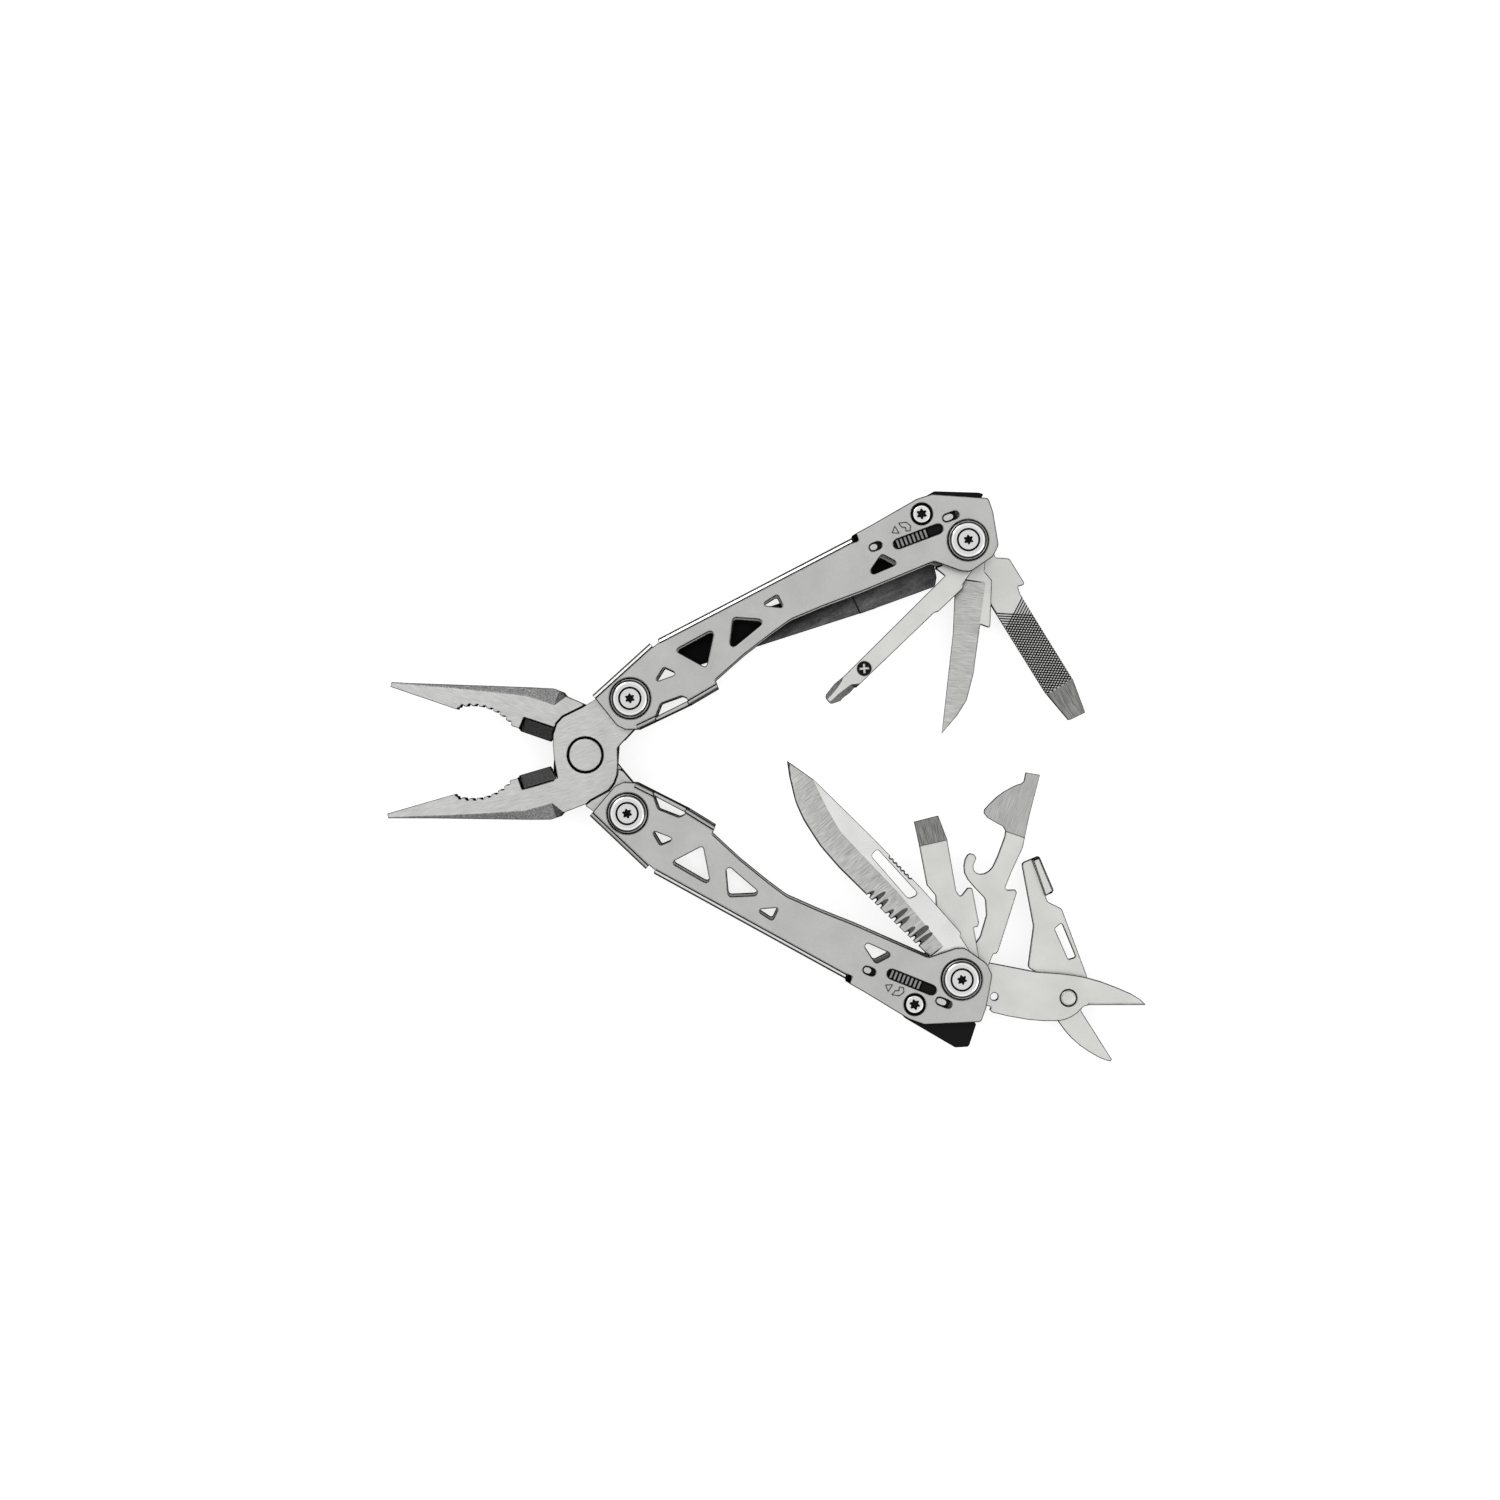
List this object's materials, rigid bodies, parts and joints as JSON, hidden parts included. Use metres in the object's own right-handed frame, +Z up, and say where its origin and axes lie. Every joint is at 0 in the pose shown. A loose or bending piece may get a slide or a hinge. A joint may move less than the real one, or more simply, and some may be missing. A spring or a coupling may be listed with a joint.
{
  "type": "folding multi tool",
  "caption": "Butterfly folding multi tool: needle-nose pliers with two slotted steel handles that hold drivers, a blade, file, awl, can opener and scissors.",
  "frame": {"origin": "on the table under the middle of the tool, lying flat on its back with everything fanned open", "axes": "+X from the plier tips towards the scissors, +Y across the two handles, +Z up out of the front plates"},
  "size_m": [0.1914, 0.1438, 0.0176],
  "materials": {
    "plier_steel": "cross-brushed stainless with grainy cast facets on the jaw backs",
    "handle_steel": "bead-blasted satin stainless sheet, bright along its cut edges",
    "blade_steel": "satin stainless, ground bevels brushed square to the edge",
    "tool_steel": "satin stainless, finely brushed",
    "file_steel": "satin stainless with a dark double-cut file face",
    "screw_steel": "polished domed screw heads",
    "washer_steel": "plain turned washers",
    "black_oxide": "matte black oxide on steel",
    "clip_black": "dark grey mottled coating on spring steel"
  },
  "bodies": {
    "front_half": {"plier_front_half": "plier_steel", "jaw_rivet": "plier_steel"},
    "rear_half": {"plier_rear_half": "plier_steel"},
    "upper_handle": {"upper_frame": "handle_steel", "upper_plier_screw": "screw_steel", "upper_plier_barrel": "screw_steel", "upper_plier_washer_front": "washer_steel", "upper_plier_washer_back": "washer_steel", "upper_tool_screw": "screw_steel", "upper_tool_barrel": "screw_steel", "upper_lock_screw": "screw_steel", "upper_lock_spring": "washer_steel", "upper_tool_washer_1": "washer_steel", "upper_tool_washer_2": "washer_steel", "upper_tool_washer_3": "washer_steel", "pocket_clip": "clip_black", "pocket_clip_screw_1": "screw_steel", "pocket_clip_screw_2": "screw_steel"},
    "lower_handle": {"lower_frame": "handle_steel", "lower_plier_screw": "screw_steel", "lower_plier_barrel": "screw_steel", "lower_plier_washer_front": "washer_steel", "lower_plier_washer_back": "washer_steel", "lower_tool_screw": "screw_steel", "lower_tool_barrel": "screw_steel", "lower_lock_screw": "screw_steel", "lower_lock_spring": "washer_steel", "lower_tool_washer_1": "washer_steel", "lower_tool_washer_2": "washer_steel", "lower_tool_washer_3": "washer_steel", "lower_tool_washer_4": "washer_steel"},
    "cross_driver": {"cross_driver": "tool_steel"},
    "awl": {"awl_blade": "tool_steel"},
    "file": {"file": "file_steel"},
    "main_blade": {"main_blade": "blade_steel"},
    "flat_driver": {"flat_driver": "tool_steel"},
    "can_opener": {"can_opener": "tool_steel"},
    "scissors": {"scissors_arm": "tool_steel", "scissors_rivet": "screw_steel"},
    "scissors_lever": {"scissors_lever": "tool_steel"},
    "upper_lock_slider": {"upper_lock_slider": "black_oxide"},
    "lower_lock_slider": {"lower_lock_slider": "black_oxide"},
    "upper_lock_bar": {"upper_lock_bar": "black_oxide"},
    "lower_lock_bar": {"lower_lock_bar": "black_oxide"}
  },
  "joints": [
    {"name": "jaw_pivot", "type": "hinge", "parent": "front_half", "child": "rear_half", "pos_m": [-0.04569, 0.0058, 0.0088], "axis": [0, 0, 1], "range_deg": [0, 25]},
    {"name": "upper_fold", "type": "hinge", "parent": "front_half", "child": "upper_handle", "pos_m": [-0.03429, 0.01992, 0.0088], "axis": [0, 0, -1], "range_deg": [-171, 0]},
    {"name": "lower_fold", "type": "hinge", "parent": "rear_half", "child": "lower_handle", "pos_m": [-0.03497, -0.00883, 0.0088], "axis": [0, 0, -1], "range_deg": [0, 171]},
    {"name": "cross_driver_fold", "type": "hinge", "parent": "upper_handle", "child": "cross_driver", "pos_m": [0.0502, 0.0595, 0.0088], "axis": [0, 0, 1], "range_deg": [-24.2, 155.8]},
    {"name": "awl_fold", "type": "hinge", "parent": "upper_handle", "child": "awl", "pos_m": [0.0502, 0.0595, 0.0088], "axis": [0, 0, 1], "range_deg": [-57.1, 122.9]},
    {"name": "file_fold", "type": "hinge", "parent": "upper_handle", "child": "file", "pos_m": [0.0502, 0.0595, 0.0088], "axis": [0, 0, 1], "range_deg": [-96.6, 83.4]},
    {"name": "main_blade_fold", "type": "hinge", "parent": "lower_handle", "child": "main_blade", "pos_m": [0.0486, -0.05032, 0.0088], "axis": [0, 0, -1], "range_deg": [-25, 155]},
    {"name": "flat_driver_fold", "type": "hinge", "parent": "lower_handle", "child": "flat_driver", "pos_m": [0.0486, -0.05032, 0.0088], "axis": [0, 0, -1], "range_deg": [-51.1, 128.9]},
    {"name": "can_opener_fold", "type": "hinge", "parent": "lower_handle", "child": "can_opener", "pos_m": [0.0486, -0.05032, 0.0088], "axis": [0, 0, -1], "range_deg": [-82.7, 97.3]},
    {"name": "scissors_fold", "type": "hinge", "parent": "lower_handle", "child": "scissors", "pos_m": [0.0486, -0.05032, 0.0088], "axis": [0, 0, -1], "range_deg": [-162.3, 17.7]},
    {"name": "scissors_squeeze", "type": "hinge", "parent": "scissors", "child": "scissors_lever", "pos_m": [0.07621, -0.05566, 0.0088], "axis": [0, 0, 1], "range_deg": [0, 45], "stiffness_Nm_per_rad": 0.02, "springref_deg": -17.19},
    {"name": "upper_lock_slide", "type": "slide", "parent": "upper_handle", "child": "upper_lock_slider", "axis": [0.9361, 0.3518, 0], "range_m": [0, 0.001], "stiffness_N_per_m": 400, "springref_m": -0.001},
    {"name": "lower_lock_slide", "type": "slide", "parent": "lower_handle", "child": "lower_lock_slider", "axis": [0.9278, -0.373, 0], "range_m": [0, 0.001], "stiffness_N_per_m": 400, "springref_m": -0.001},
    {"name": "upper_lock_rock", "type": "hinge", "parent": "upper_handle", "child": "upper_lock_bar", "pos_m": [0.03862, 0.06606, 0.0088], "axis": [0, 0, 1], "range_deg": [0, 8], "stiffness_Nm_per_rad": 0.05, "springref_deg": -5.73},
    {"name": "lower_lock_rock", "type": "hinge", "parent": "lower_handle", "child": "lower_lock_bar", "pos_m": [0.03688, -0.05661, 0.0088], "axis": [0, 0, 1], "range_deg": [0, 4], "stiffness_Nm_per_rad": 0.05, "springref_deg": -5.73}
  ]
}
